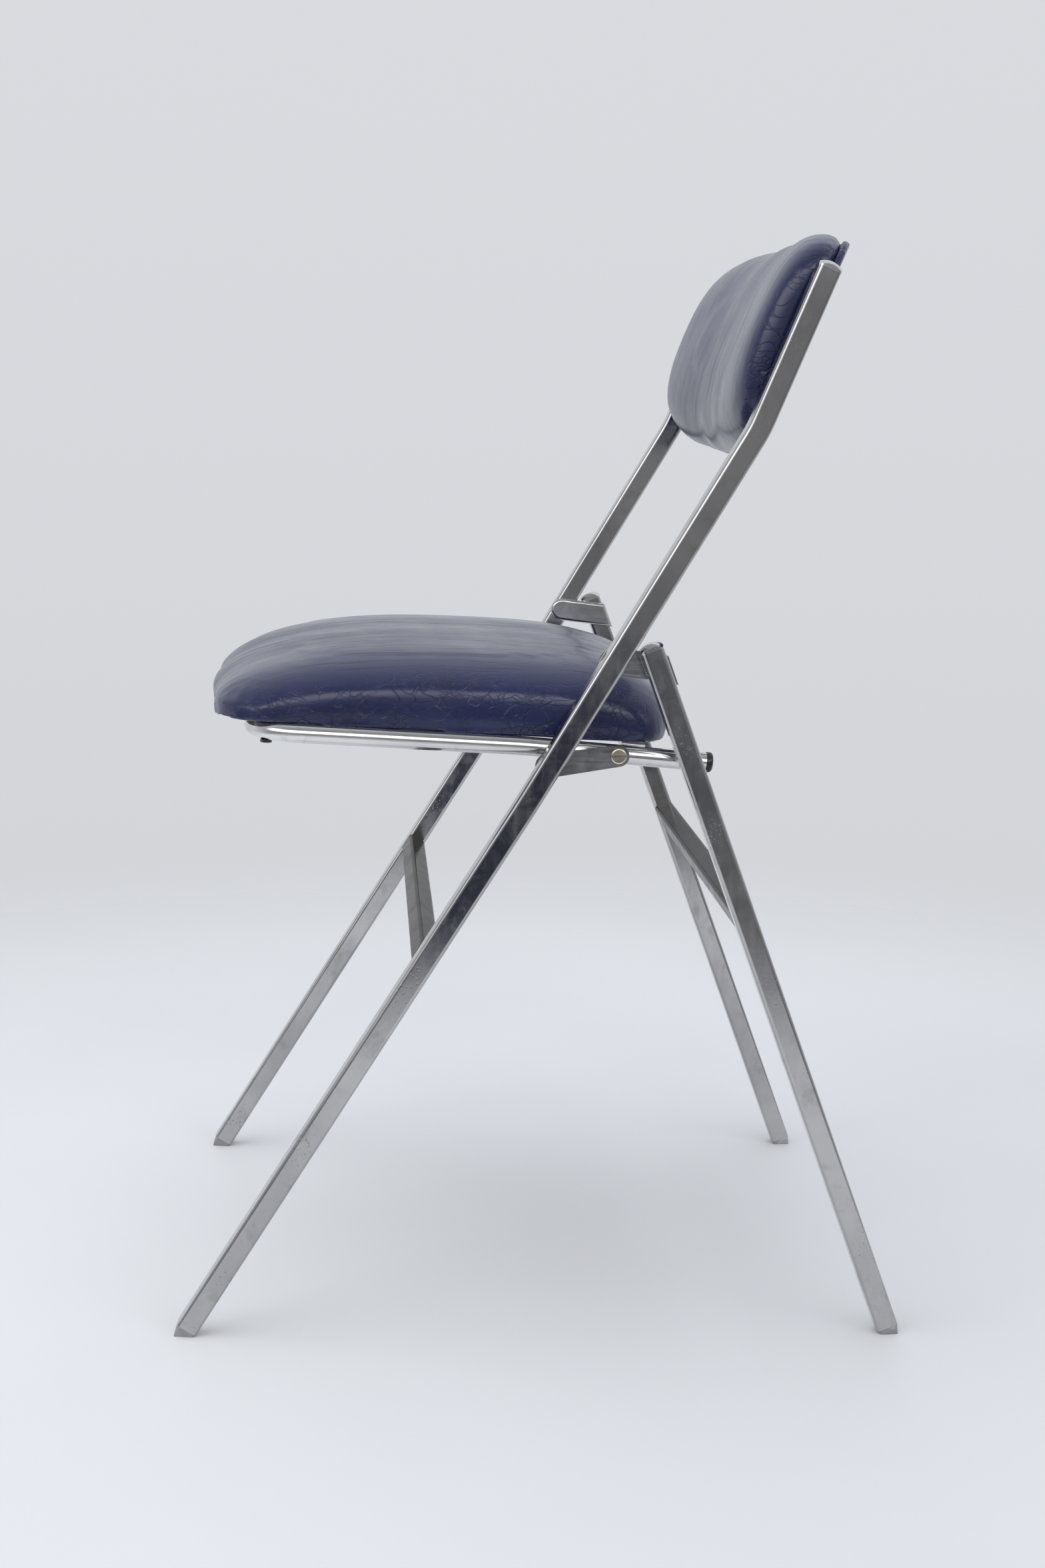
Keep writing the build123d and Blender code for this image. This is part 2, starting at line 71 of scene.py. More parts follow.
# ---------------------------------------------------------------- node helpers
class Tree:
    """A node tree, with short calls that add nodes to it. Patterns are laid out by self.place."""

    def __init__(self, tree, coordinates):
        self.tree = tree
        tree.nodes.clear()
        self.place = tree.nodes.new("ShaderNodeTexCoord").outputs[coordinates]

    def link(self, a, b):
        self.tree.links.new(a, b)

    def fill(self, socket, value):
        """A value into a node's input, linked or set."""
        if isinstance(value, bpy.types.NodeSocket):
            self.link(value, socket)
        else:
            socket.default_value = value

    def stretched(self, scale, turn=(0, 0, 0), place=None):
        """Position scaled and turned, so that a pattern runs along one direction."""
        node = self.tree.nodes.new("ShaderNodeMapping")
        self.link(place or self.place, node.inputs["Vector"])
        node.inputs["Scale"].default_value = scale
        node.inputs["Rotation"].default_value = turn
        return node.outputs[0]

    def noise(self, scale, detail=4.0, rough=0.55, distortion=0.0, place=None):
        node = self.tree.nodes.new("ShaderNodeTexNoise")
        self.link(place or self.place, node.inputs["Vector"])
        node.inputs["Scale"].default_value = scale
        node.inputs["Detail"].default_value = detail
        node.inputs["Roughness"].default_value = rough
        node.inputs["Distortion"].default_value = distortion
        return node.outputs[0]

    def cells(self, scale, feature="F1", place=None):
        node = self.tree.nodes.new("ShaderNodeTexVoronoi")
        node.feature = feature
        self.link(place or self.place, node.inputs["Vector"])
        node.inputs["Scale"].default_value = scale
        return node.outputs["Distance"]

    def band(self, value, low, high, to_low=0.0, to_high=1.0):
        """Map a range of value, clamped, with a smooth step."""
        node = self.tree.nodes.new("ShaderNodeMapRange")
        node.interpolation_type = "SMOOTHSTEP"
        self.link(value, node.inputs["Value"])
        ends = {"From Min": low, "From Max": high, "To Min": to_low, "To Max": to_high}
        for name, number in ends.items():
            node.inputs[name].default_value = number
        return node.outputs[0]

    def math(self, operation, a, b=0.0):
        node = self.tree.nodes.new("ShaderNodeMath")
        node.operation = operation
        self.fill(node.inputs[0], a)
        self.fill(node.inputs[1], b)
        return node.outputs[0]

    def mix(self, factor, a, b):
        """Mix two colours."""
        node = self.tree.nodes.new("ShaderNodeMix")
        node.data_type = "RGBA"
        self.fill(node.inputs["Factor"], factor)
        for socket, value in ((node.inputs[6], a), (node.inputs[7], b)):
            self.fill(socket, (*value, 1.0) if isinstance(value, tuple) else value)
        return node.outputs[2]

    def warp(self, amount, scale):
        """Position pushed about by noise, so that a pattern bends."""
        node = self.tree.nodes.new("ShaderNodeTexNoise")
        self.link(self.place, node.inputs["Vector"])
        node.inputs["Scale"].default_value = scale
        add = self.tree.nodes.new("ShaderNodeVectorMath")
        add.operation = "MULTIPLY_ADD"
        self.link(node.outputs["Color"], add.inputs[0])
        add.inputs[1].default_value = (amount, amount, amount)
        self.link(self.place, add.inputs[2])
        return add.outputs[0]

    def part(self, axis):
        """One coordinate of the position."""
        node = self.tree.nodes.new("ShaderNodeSeparateXYZ")
        self.link(self.place, node.inputs[0])
        return node.outputs[axis]

    def facing(self, axis):
        """One component of the surface's own normal."""
        geometry = self.tree.nodes.new("ShaderNodeNewGeometry")
        node = self.tree.nodes.new("ShaderNodeSeparateXYZ")
        self.link(geometry.outputs["Normal"], node.inputs[0])
        return node.outputs[axis]

    def bump(self, height, distance, strength=1.0, below=None):
        node = self.tree.nodes.new("ShaderNodeBump")
        node.inputs["Distance"].default_value = distance
        node.inputs["Strength"].default_value = strength
        self.link(height, node.inputs["Height"])
        if below is not None:
            self.link(below, node.inputs["Normal"])
        return node.outputs[0]


class Nodes(Tree):
    """A material with its Principled shader."""

    def __init__(self, name, metallic=0.0, roughness=0.5):
        self.mat = bpy.data.materials.new(name)
        self.mat.use_nodes = True
        super().__init__(self.mat.node_tree, "Object")
        out = self.tree.nodes.new("ShaderNodeOutputMaterial")
        self.shader = self.tree.nodes.new("ShaderNodeBsdfPrincipled")
        self.shader.inputs["Metallic"].default_value = metallic
        self.shader.inputs["Roughness"].default_value = roughness
        self.link(self.shader.outputs[0], out.inputs["Surface"])

    def put(self, socket, value):
        """Link an output to a named shader socket."""
        self.link(value, self.shader.inputs[socket])


# ---------------------------------------------------------------- materials
def aged_chrome(name, tint=(0.50, 0.50, 0.495), dull=(0.39, 0.39, 0.395), rough=(0.07, 0.19),
                rust=0.5, lean=0.0, edge=1.0):
    """Old chrome: cloudy patches, milky stains, faint rubbing along the tube, brown pits in clusters.

    lean turns the rubbing into the tube's direction, and edge is how bright it is seen edge on."""
    m = Nodes(name, metallic=1.0)
    m.shader.inputs["Specular Tint"].default_value = (edge, edge, edge, 1.0)
    rubbed = m.noise(1.0, 3, 0.6, place=m.stretched((170, 170, 7), (-lean, 0, 0)))
    cloud = m.noise(7.0, 5, 0.6, 0.6)
    stain = m.noise(46.0, 5, 0.68, 0.8)
    base = m.mix(m.band(cloud, 0.36, 0.66), tint, dull)
    base = m.mix(m.band(stain, 0.52, 0.74, 0.0, 0.40), base, STAIN_BROWN)
    # pits: small spots, let through where a broad noise is high
    spots = m.band(m.cells(330.0), 0.12, 0.26, 1.0, 0.0)
    fine = m.band(m.cells(900.0), 0.10, 0.24, 1.0, 0.0)
    where = m.band(m.noise(15.0, 3, 0.6), 0.64 - 0.16 * rust, 0.80 - 0.14 * rust)
    low = m.band(m.part(2), 0.05, 0.50, 1.0, 0.35)
    pits = m.math("MULTIPLY", m.math("MULTIPLY", m.math("MAXIMUM", spots, fine), where), low)
    m.put("Base Color", m.mix(pits, base, RUST_BROWN))
    m.put("Metallic", m.math("SUBTRACT", 1.0, m.math("MULTIPLY", pits, 0.9)))
    # pale dust specks
    specks = m.band(m.cells(520.0), 0.05, 0.13, 0.22, 0.0)
    dust = m.math("MULTIPLY", specks, m.band(m.noise(24.0, 2), 0.50, 0.62))
    wide = m.math("ADD", m.band(stain, 0.34, 0.70, rough[0], rough[1]), dust)
    wear_and_painted_shade = m.math("MULTIPLY", m.band(rubbed, 0.40, 0.70), 0.045)
    m.put("Roughness", m.math("ADD", m.math("ADD", wide, wear_and_painted_shade), m.math("MULTIPLY", pits, 0.4)))
    waves = m.bump(m.noise(17.0, 2, 0.5), 0.0005, 0.22)
    grain = m.bump(rubbed, 0.00003, 0.25, below=waves)
    m.put("Normal", m.bump(m.math("SUBTRACT", 1.0, pits), 0.00012, 0.6, below=grain))
    return m.mat


def vinyl(name, hem):
    """Soft navy vinyl: pebble grain, long streaks where it is stretched, cracked creases at the sides,
    with painted shade darkening the colour in the creases and streaks.

    The streaks fade out at the height hem, where the vinyl turns in under a pad."""
    m = Nodes(name)
    m.shader.inputs["IOR"].default_value = 1.46
    m.shader.inputs["Coat Weight"].default_value = 0.34
    m.shader.inputs["Coat Roughness"].default_value = 0.17
    m.shader.inputs["Sheen Weight"].default_value = 0.06
    m.shader.inputs["Sheen Roughness"].default_value = 0.5
    side = m.math("ABSOLUTE", m.facing(0))
    flat = m.math("MULTIPLY", m.band(side, 0.30, 0.75, 1.0, 0.0), m.band(m.part(2), hem, hem + 0.022))
    edge = m.band(side, 0.35, 0.80, 0.0, 1.0)
    bent = m.warp(0.010, 9.0)
    run = (1.0, 0.05, 0.05)
    broad = m.noise(75.0, 3, 0.5, place=m.stretched(run, place=bent))
    thin = m.noise(430.0, 3, 0.55, place=m.stretched((1.0, 0.030, 0.030), place=bent))
    streak = m.band(thin, 0.57, 0.66, 0.0, 1.0)
    # creases: thin valleys between warped cells, only in some places
    bent_more = m.warp(0.020, 40.0)
    wide_cells = m.stretched((1.0, 0.55, 1.25), (0.5, 0.0, 0.0), bent_more)
    small_cells = m.stretched((1.0, 0.6, 1.2), (-0.6, 0.0, 0.0), bent_more)
    lines = m.band(m.cells(105.0, "DISTANCE_TO_EDGE", place=wide_cells), 0.0, 0.055, 1.0, 0.0)
    cracks = m.band(m.cells(250.0, "DISTANCE_TO_EDGE", place=small_cells), 0.0, 0.06, 0.6, 0.0)
    lines = m.math("MULTIPLY", lines, m.band(m.noise(22.0, 3, 0.55), 0.42, 0.56, 0.0, 0.75))
    cracks = m.math("MULTIPLY", cracks, m.band(m.noise(30.0, 2, 0.5), 0.46, 0.58))
    valley = m.math("MULTIPLY", m.math("MAXIMUM", lines, cracks), edge)
    deep = m.math("MULTIPLY", streak, flat)
    base = m.mix(m.band(m.noise(6.0, 4, 0.6), 0.30, 0.72), NAVY_DARK, NAVY_LIGHT)
    greyed = m.math("MULTIPLY", m.band(m.noise(34.0, 3, 0.6), 0.45, 0.8), 0.35)
    base = m.mix(greyed, base, NAVY_GREYED)
    # painted shade: the base colour goes dark navy in the crease valleys and the stretch-streak grooves
    wear_and_painted_shade = m.math("MAXIMUM", m.math("MULTIPLY", valley, 0.30), m.math("MULTIPLY", deep, 0.40))
    m.put("Base Color", m.mix(wear_and_painted_shade, base, NAVY_CREASE_SHADE))
    rough = m.band(m.noise(18.0, 4, 0.6), 0.30, 0.75, 0.27, 0.40)
    m.put("Roughness", m.math("ADD", rough, m.math("MULTIPLY", m.math("MAXIMUM", valley, deep), 0.12)))
    pull = m.bump(m.math("MULTIPLY", broad, flat), 0.0010, 0.55)
    pull = m.bump(m.math("SUBTRACT", 1.0, deep), 0.00035, 0.75, below=pull)
    cracked = m.bump(m.math("SUBTRACT", 1.0, valley), 0.00090, 1.0, below=pull)
    pebble = m.bump(m.cells(950.0, "SMOOTH_F1"), 0.00010, 0.22, below=cracked)
    m.put("Normal", m.bump(m.noise(16.0, 2, 0.5), 0.0022, 0.35, below=pebble))
    return m.mat


def scuffed_plastic(name, base, scuff, rough=(0.35, 0.6)):
    """Moulded plastic with paler scuffs."""
    m = Nodes(name)
    spread = m.noise(90.0, 5, 0.65, 0.5)
    m.put("Base Color", m.mix(m.band(spread, 0.45, 0.75), base, scuff))
    m.put("Roughness", m.band(m.noise(260.0, 4, 0.6), 0.3, 0.7, rough[0], rough[1]))
    m.put("Normal", m.bump(m.noise(420.0, 4, 0.6), 0.00012, 0.5))
    return m.mat


def steel(name, base, other, rough=(0.26, 0.46), turn=0.0, grain=0.5):
    """Plain or zinc-plated steel with drawn marks, stains and a few rust spots."""
    m = Nodes(name, metallic=1.0)
    drawn = m.noise(1.0, 4, 0.6, place=m.stretched((300, 26, 600), (turn, 0, 0)))
    stain = m.noise(55.0, 5, 0.65, 0.6)
    base = m.mix(m.band(stain, 0.38, 0.70), base, other)
    dots = m.band(m.cells(700.0), 0.08, 0.24, 1.0, 0.0)
    spots = m.math("MULTIPLY", dots, m.band(m.noise(30.0), 0.52, 0.66))
    m.put("Base Color", m.mix(m.math("MULTIPLY", spots, 0.8), base, RUST_SPOT))
    m.put("Roughness", m.band(drawn, 0.3, 0.7, rough[0], rough[1]))
    uneven = m.bump(stain, 0.00012, 0.6 * grain)
    m.put("Normal", m.bump(drawn, 0.00004, grain, below=uneven))
    return m.mat


def board(name):
    """Dark pressed board with short fibres."""
    m = Nodes(name, roughness=0.7)
    fibre = m.noise(1.0, 5, 0.65, 0.8, place=m.stretched((240, 60, 240)))
    m.put("Base Color", m.mix(m.band(fibre, 0.35, 0.68), (0.030, 0.021, 0.016), (0.085, 0.058, 0.040)))
    m.put("Roughness", m.band(fibre, 0.3, 0.7, 0.6, 0.85))
    m.put("Normal", m.bump(fibre, 0.0003, 0.6))
    return m.mat


def pale_floor(reach):
    """Pale matt floor that fades out before its edge."""
    m = Nodes("pale_floor", roughness=0.55)
    cloud = m.noise(1.3, 4, 0.5)
    m.put("Base Color", m.mix(m.band(cloud, 0.3, 0.7), (0.72, 0.735, 0.76), (0.76, 0.775, 0.80)))
    m.put("Normal", m.bump(m.noise(60.0, 3, 0.5), 0.0004, 0.12))
    away = m.tree.nodes.new("ShaderNodeVectorMath")
    away.operation = "LENGTH"
    m.link(m.place, away.inputs[0])
    m.put("Alpha", m.band(away.outputs["Value"], 0.45 * reach, 0.98 * reach, 1.0, 0.0))
    return m.mat


chrome_bar = aged_chrome("chrome_bar", lean=LEAN_BAR, rust=0.55)
chrome_leg = aged_chrome("chrome_leg", lean=LEAN_LEG, rust=0.65)
# painted shade: the cross braces low under the seat get a darker copy of the bar chrome, with duller
# edges
chrome_across_painted_shade = aged_chrome("chrome_across_painted_shade", tint=(0.22, 0.22, 0.22), dull=(0.16, 0.16, 0.16),
                            rough=(0.12, 0.26), rust=0.45, edge=0.5)
chrome_round = aged_chrome("chrome_round", tint=(0.78, 0.78, 0.77), dull=(0.62, 0.62, 0.62),
                           rough=(0.06, 0.14), rust=0.2, lean=math.radians(90))
chrome_cap = aged_chrome("chrome_cap", tint=(0.80, 0.80, 0.79), dull=(0.68, 0.68, 0.68),
                         rough=(0.05, 0.13), rust=0.1)
bright_steel = steel("bright_steel", (0.62, 0.62, 0.61), (0.46, 0.46, 0.45), (0.12, 0.24), grain=0.12)
link_steel = steel("link_steel", (0.27, 0.27, 0.275), (0.17, 0.17, 0.175), turn=0.13)
dark_steel = steel("dark_steel", (0.20, 0.20, 0.20), (0.10, 0.095, 0.09))
rivet_brass = steel("rivet_brass", (0.80, 0.74, 0.60), (0.64, 0.57, 0.43), (0.16, 0.28), grain=0.10)
foot_grey = scuffed_plastic("foot_grey", (0.23, 0.23, 0.235), (0.42, 0.42, 0.43))
plug_black = scuffed_plastic("plug_black", (0.012, 0.012, 0.014), (0.035, 0.035, 0.038), (0.22, 0.4))
board_dark = board("board_dark")
vinyl_seat = vinyl("vinyl_seat", SEAT_LOW.z - 0.05)
vinyl_back = vinyl("vinyl_back", BACK_LOW.z + 0.004)

FINISH = {
    "main_bar": chrome_bar,
    "rear_leg": chrome_leg,
    "rear_leg_cap": chrome_cap,
    "upright_cap": chrome_cap,
    "front_cross_brace": chrome_across_painted_shade,
    "rear_cross_brace": chrome_across_painted_shade,
    "seat_tube": chrome_round,
    "seat_tube_plug": plug_black,
    "front_foot": foot_grey,
    "rear_foot": foot_grey,
    "pivot_bracket": bright_steel,
    "seat_link": link_steel,
    "link_rivet": rivet_brass,
    "seat_board": board_dark,
    "backrest_board": board_dark,
    "backrest_rail": dark_steel,
    "backrest_screws": dark_steel,
    "seat_screws": dark_steel,
    "seat_cushion": vinyl_seat,
    "backrest_cushion": vinyl_back,
    "backrest_rear_panel": vinyl_back,
}


def finish_of(node):
    """The longest name in FINISH that the node's name starts with, or bright steel."""
    fits = [key for key in FINISH if node.startswith(key)]
    return FINISH[max(fits, key=len)] if fits else bright_steel


for name, node in nodes.items():
    node.data.materials.clear()
    node.data.materials.append(finish_of(name))


# ---------------------------------------------------------------- soft pieces
SEAT_VOXEL = 0.0045
BACK_VOXEL = 0.0042
PANEL_VOXEL = 0.0018
PRESSURE = 9.0
SWELL_STEPS = 20                     # frames of the cloth simulation
INSET = 0.003                        # it starts this far inside the CAD shape
PROUD = 0.001                        # and may end this far outside it
LEAST_SWELL = 0.85                   # share of that way that every free point goes
MOST_SLIDE = 0.0008                  # farthest that a point goes along the surface
HELD_LEAST = 0.02                    # points held less than this are free
EDGE_REACH = 0.009                   # points nearer a board's middle plane lie beside its edge
EDGE_DEPTH = 0.006                   # points deeper inside the board than this stay there
EDGE_PLAY = 0.0016                   # room between the vinyl and a board's edge


def smooth_step(value, low, high):
    t = np.clip((value - low) / (high - low), 0, 1)
    return t * t * (3 - 2 * t)


def points_of(mesh):
    flat = np.empty(len(mesh.vertices) * 3)
    mesh.vertices.foreach_get("co", flat)
    return flat.reshape(-1, 3)


def set_points(mesh, points):
    mesh.vertices.foreach_set("co", points.reshape(-1))
    mesh.update()


def normals_of(mesh):
    flat = np.empty(len(mesh.vertices) * 3)
    mesh.vertices.foreach_get("normal", flat)
    return flat.reshape(-1, 3)


def applied(piece):
    """Replace the piece's mesh with what its modifiers make of it, and drop them."""
    graph = bpy.context.evaluated_depsgraph_get()
    mesh = bpy.data.meshes.new_from_object(piece.evaluated_get(graph))
    piece.modifiers.clear()
    piece.data = mesh
    return mesh


def remeshed(name, sources, voxel, smooth):
    """New object with the shape of one or more nodes together, in even small faces."""
    both = bmesh.new()
    for node in sources:
        both.from_mesh(nodes[node].data)
    mesh = bpy.data.meshes.new(name)
    both.to_mesh(mesh)
    both.free()
    piece = bpy.data.objects.new(name, mesh)
    bpy.context.scene.collection.objects.link(piece)
    remesh = piece.modifiers.new("even", "REMESH")
    remesh.mode = "VOXEL"
    remesh.voxel_size = voxel
    ease = piece.modifiers.new("ease", "SMOOTH")
    ease.factor = 0.5
    ease.iterations = smooth
    applied(piece)
    return piece


def puffed(piece, held):
    """Swell the pad with cloth under pressure, held where it is fixed to its board.

    held(points) is 1 for a fixed point and 0 for a free one."""
    mesh = piece.data
    start = points_of(mesh)
    outward = normals_of(mesh)
    weight = held(start)
    begun = start - outward * (INSET * (1 - weight))[:, None]
    set_points(mesh, begun)
    group = piece.vertex_groups.new(name="held")
    for index in np.nonzero(weight > HELD_LEAST)[0]:
        group.add([int(index)], float(weight[index]), "REPLACE")
    cloth = piece.modifiers.new("swell", "CLOTH")
    cloth.settings.quality = 5
    cloth.settings.mass = 0.35
    cloth.settings.tension_stiffness = 18
    cloth.settings.compression_stiffness = 12
    cloth.settings.shear_stiffness = 6
    cloth.settings.bending_stiffness = 0.8
    cloth.settings.use_pressure = True
    cloth.settings.uniform_pressure_force = PRESSURE
    cloth.settings.vertex_group_mass = "held"
    cloth.settings.effector_weights.gravity = 0.0
    scene = bpy.context.scene
    for step in range(1, SWELL_STEPS + 1):
        scene.frame_set(step)
    mesh = applied(piece)
    scene.frame_set(1)
    moved = points_of(mesh) - begun
    out = np.sum(moved * outward, axis=1)
    along = moved - outward * out[:, None]
    length = np.maximum(np.linalg.norm(along, axis=1), 1e-9)
    slide = np.minimum(1.0, MOST_SLIDE / length)
    limit = (INSET + PROUD) * (1 - weight)
    out = np.clip(out, LEAST_SWELL * limit, limit)
    set_points(mesh, begun + outward * out[:, None] + along * slide[:, None])


def finished(piece, material, body, node):
    """One subdivision, smooth shading, material, and the piece's place in the frame."""
    fine = piece.modifiers.new("fine", "SUBSURF")
    fine.levels = fine.render_levels = 1
    mesh = applied(piece)
    mesh.polygons.foreach_set("use_smooth", [True] * len(mesh.polygons))
    mesh.materials.clear()
    mesh.materials.append(material)
    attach(piece, body)
    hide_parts(node)


def clear_of_board(points, node, square, rise):
    """Move points beside a board's edge outwards, until they stand clear of that edge.

    square is the board's normal, and rise each point's height over the board's middle plane."""
    mesh = nodes[node].data
    corners = [v.co.copy() for v in mesh.vertices]
    tree = BVHTree.FromPolygons(corners, [tuple(f.vertices) for f in mesh.polygons])
    for index, height in enumerate(rise):
        if abs(height) > EDGE_REACH:
            continue
        level = Vector(points[index]) - square * height
        place, normal, _, distance = tree.find_nearest(level)
        if abs(normal.dot(square)) > 0.5:      # the nearest face is the board's top or underside
            continue
        outside = math.copysign(distance, (level - place).dot(normal))
        if -EDGE_DEPTH < outside < EDGE_PLAY:
            fade = 1 - float(smooth_step(abs(height), EDGE_REACH / 2, EDGE_REACH))
            points[index] += np.array(normal) * (EDGE_PLAY - outside) * fade
    return points


def seat_heights(points):
    """Height of each point above the seat board's underside."""
    board_low, board_high = (Vector(v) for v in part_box("seat_board"))
    front_under = board_high.z - SEAT_BOARD * math.cos(SEAT_FALL)
    drop = (points[:, 1] - board_low.y) * math.tan(SEAT_FALL)
    return (points[:, 2] - (front_under - drop)) * math.cos(SEAT_FALL)


FOLD_HEIGHT = 0.0008                 # of the gathers round the seat's front corners
FOLD_CENTRE = (0.130, 0.045)         # they run round this: from the middle, and behind the front edge
RIPPLE_HEIGHT = 0.0003               # of the finer gathers along the front edge
RIPPLE_PITCH = 0.016
SEAT_HELD = (0.0005, 0.009)          # heights up to which the cover is fixed, and over which it is free
SEAT_HEM = 0.016                     # width of the vinyl turned in under the seat board
SEAT_HEM_THICK = 0.0010
SEAT_SUNK = 0.0040                   # how far the middle of the underside goes up into the board


def make_seat_pad():
    """Seat cover, swollen, gathered at the front corners and turned in under the board."""
    piece = remeshed("seat_pad", ("seat_cushion", "seat_board"), SEAT_VOXEL, smooth=3)

    def held(points):
        return 1 - smooth_step(seat_heights(points), *SEAT_HELD)

    puffed(piece, held)
    points = points_of(piece.data)
    outward = normals_of(piece.data)
    height = seat_heights(points)
    x, y = points[:, 0], points[:, 1]
    behind = y - SEAT_LOW.y
    # gathers: the vinyl is pulled under the board, so shallow folds run up round the front corners
    corner = smooth_step(np.abs(x), 0.085, 0.160) * (1 - smooth_step(behind, 0.020, 0.085))
    turn = np.arctan2(behind - FOLD_CENTRE[1], np.abs(x) - FOLD_CENTRE[0])
    fold = np.sin(turn * 19 + 1.3 * np.sin(turn * 5)) * 0.6 + 0.4 * np.sin(turn * 33 + 0.7)
    low_part = smooth_step(height, 0.0, 0.004) * (1 - smooth_step(height, 0.006, 0.034))
    front = (1 - smooth_step(behind, 0.010, 0.060)) * (1 - smooth_step(height, 0.004, 0.028))
    ripple = np.sin(x * 2 * math.pi / RIPPLE_PITCH + 2.0 * np.sin(x * 41)) * front
    lift = fold * low_part * corner * FOLD_HEIGHT + ripple * RIPPLE_HEIGHT
    points = points + outward * lift[:, None]
    square = Vector((0, math.sin(SEAT_FALL), math.cos(SEAT_FALL)))
    points = clear_of_board(points, "seat_board", square, seat_heights(points) - SEAT_BOARD / 2)
    # under the board the vinyl is only a hem, so the middle of the underside goes up into the board
    rim = np.minimum(SEAT_HIGH.x - np.abs(x), np.minimum(behind, SEAT_HIGH.y - y))
    under = 1 - smooth_step(height, 0.001, 0.003)
    middle = smooth_step(rim, SEAT_HEM, SEAT_HEM + 0.004)
    points[:, 2] += under * (SEAT_SUNK * middle - SEAT_HEM_THICK)
    set_points(piece.data, points)
    finished(piece, vinyl_seat, "seat", "seat_cushion")


# directions out of the backrest's front and up along it
BACK_AHEAD = np.array([0.0, -math.cos(BACK_LEAN), math.sin(BACK_LEAN)])
BACK_UP = np.array([0.0, math.sin(BACK_LEAN), math.cos(BACK_LEAN)])
BACK_HELD = (0.001, 0.008)
BACK_HEM = 0.018
BACK_HEM_THICK = 0.0016
BACK_SUNK = 0.0030


def back_forward(points):
    """Distance of each point in front of the backrest's hollow rear surface."""
    board_high = Vector(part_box("backrest_board")[1])
    rear = np.array([0.0, board_high.y, board_high.z]) @ BACK_AHEAD
    return points @ BACK_AHEAD - rear + HOLLOW * (1 - (points[:, 0] / INNER_X) ** 2)


def make_back_pad():
    """Backrest cover, swollen and turned in behind the board."""
    piece = remeshed("backrest_pad", ("backrest_cushion", "backrest_board"), BACK_VOXEL, smooth=3)
    rear = np.percentile(back_forward(points_of(piece.data)), 1)

    def held(points):
        return 1 - smooth_step(back_forward(points) - rear, *BACK_HELD)

    puffed(piece, held)
    points = points_of(piece.data)
    rise = back_forward(points) - rear - BACK_BOARD / 2
    points = clear_of_board(points, "backrest_board", Vector(BACK_AHEAD), rise)
    # the wrapped edge reaches back into the groove, and the middle of the rear goes into the board
    up = points @ BACK_UP
    rim = np.minimum(BACK_HIGH.x - np.abs(points[:, 0]), np.minimum(up - up.min(), up.max() - up))
    middle = smooth_step(rim, BACK_HEM, BACK_HEM + 0.006)
    wrapped = 1 - smooth_step(back_forward(points) - rear, 0.002, 0.007)
    shift = wrapped * (BACK_SUNK * middle - BACK_HEM_THICK)
    set_points(piece.data, points + shift[:, None] * BACK_AHEAD)
    finished(piece, vinyl_back, "main_frame", "backrest_cushion")


def make_back_panel():
    """Thin covered panel behind the backrest."""
    piece = remeshed("backrest_panel", ("backrest_rear_panel",), PANEL_VOXEL, smooth=5)
    finished(piece, vinyl_back, "main_frame", "backrest_rear_panel")


make_seat_pad()
make_back_pad()
make_back_panel()

# ---------------------------------------------------------------- floor, light and camera
FLOOR_REACH = 1.5                    # metres from the middle to where the floor has faded out
bpy.ops.mesh.primitive_plane_add(size=2 * FLOOR_REACH, location=(0, 0, 0))
floor = bpy.context.object
floor.name = "floor"
floor.data.materials.append(pale_floor(FLOOR_REACH))


def soft_light(name, place, aim, size, power, colour=(1, 1, 1)):
    """Large area light that lights surfaces but isn't mirrored in the chrome."""
    data = bpy.data.lights.new(name, "AREA")
    data.shape = "RECTANGLE"
    data.size, data.size_y = size
    data.energy = power
    data.color = colour
    lamp = bpy.data.objects.new(name, data)
    bpy.context.scene.collection.objects.link(lamp)
    lamp.location = place
    lamp.rotation_mode = "QUATERNION"
    lamp.rotation_quaternion = (Vector(aim) - Vector(place)).to_track_quat("-Z", "Y")
    lamp.visible_glossy = False


soft_light("overhead", (0.3, -0.5, 3.0), (0, 0, 0.2), (2.6, 2.6), 31)
soft_light("front", (0.9, -2.8, 1.6), (0, 0, 0.4), (1.8, 1.6), 14, (1.0, 0.99, 0.97))


ROOM_BEHIND = (0.70, 0.72, 0.75)
ROOM_NEAR = (0.29, 0.29, 0.30)
SOFT_BOX = (2.7, 2.7, 2.8)
DARK_BAND = (0.21, 0.21, 0.22)
DARK_SPOT = (0.045, 0.050, 0.080)
FLOOR_GLOW = (0.52, 0.53, 0.54)
BACKDROP_LOW = (0.63, 0.645, 0.67)
BACKDROP_HIGH = (0.69, 0.705, 0.735)


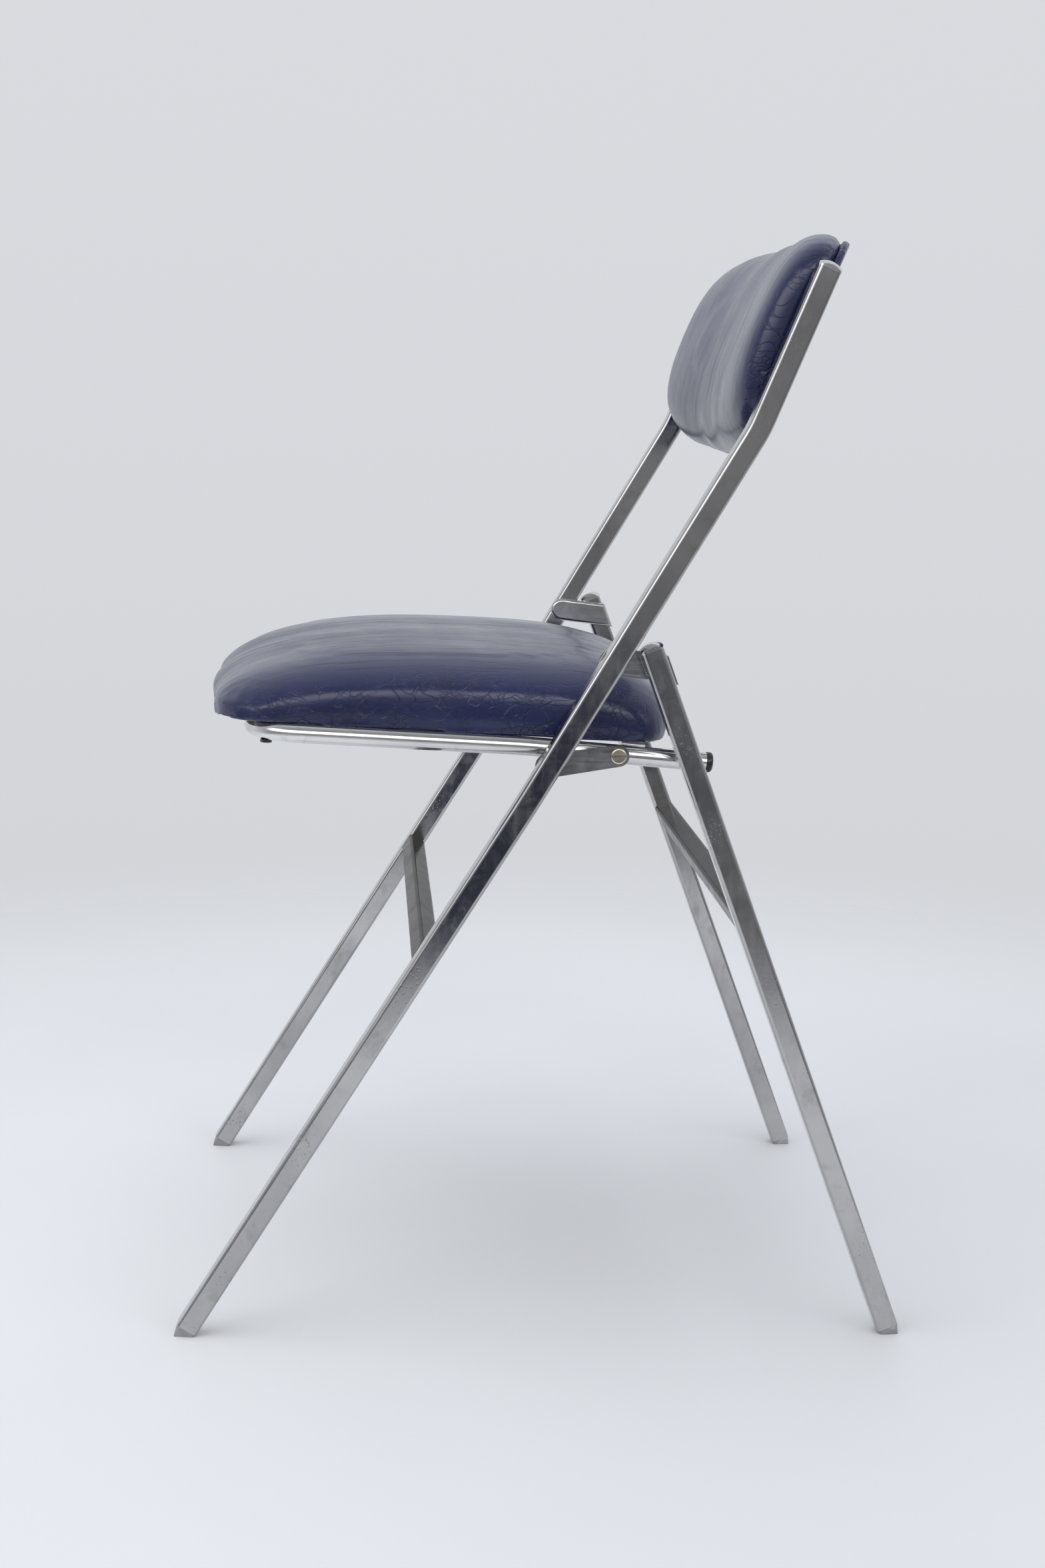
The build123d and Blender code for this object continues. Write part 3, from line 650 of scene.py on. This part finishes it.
def studio_world():
    """Pale behind the chair and dim on the camera's side, with a long soft box and a dark low band.

    The camera itself sees an even pale backdrop."""
    world = bpy.data.worlds.new("studio")
    bpy.context.scene.world = world
    world.use_nodes = True
    w = Tree(world.node_tree, "Generated")
    x, y, z = w.part(0), w.part(1), w.part(2)
    near = w.band(x, 0.20, 0.55)
    room = w.mix(w.band(x, -0.55, 0.65), ROOM_BEHIND, ROOM_NEAR)
    box = w.math("MULTIPLY", w.band(z, 0.12, 0.44), w.band(z, 0.54, 0.70, 1.0, 0.0))
    room = w.mix(w.math("MULTIPLY", box, near), room, SOFT_BOX)
    low = w.math("MULTIPLY", w.band(z, -0.33, -0.24), w.band(z, -0.14, -0.07, 1.0, 0.0))
    room = w.mix(w.math("MULTIPLY", low, near), room, DARK_BAND)
    spot = w.math("MULTIPLY", low, w.band(w.math("ABSOLUTE", y), 0.09, 0.20, 1.0, 0.0))
    room = w.mix(w.math("MULTIPLY", spot, near), room, DARK_SPOT)
    room = w.mix(w.math("MULTIPLY", w.band(z, -0.36, -0.27, 1.0, 0.0), near), room, FLOOR_GLOW)
    seen = w.mix(w.band(z, -0.5, 0.2), BACKDROP_LOW, BACKDROP_HIGH)
    ray = w.tree.nodes.new("ShaderNodeLightPath").outputs["Is Camera Ray"]
    sky = w.tree.nodes.new("ShaderNodeBackground")
    out = w.tree.nodes.new("ShaderNodeOutputWorld")
    w.link(w.mix(ray, room, seen), sky.inputs["Color"])
    w.link(sky.outputs[0], out.inputs["Surface"])


studio_world()

camera_data = bpy.data.cameras.new("camera")
camera = bpy.data.objects.new("camera", camera_data)
bpy.context.scene.collection.objects.link(camera)
camera.location = (1.5565, -0.117, 0.630)
pitch, yaw = 0.1766, -0.0091
level = math.cos(pitch)
gaze = Vector((-math.cos(yaw) * level, -math.sin(yaw) * level, -math.sin(pitch)))
camera.rotation_mode = "QUATERNION"
camera.rotation_quaternion = gaze.to_track_quat("-Z", "Y")
camera_data.sensor_fit = "AUTO"
camera_data.sensor_width = 36.0
camera_data.lens = 48.18
camera_data.shift_x = 0.0877
camera_data.clip_start = 0.02
bpy.context.scene.camera = camera
bpy.context.scene.view_settings.view_transform = "Standard"
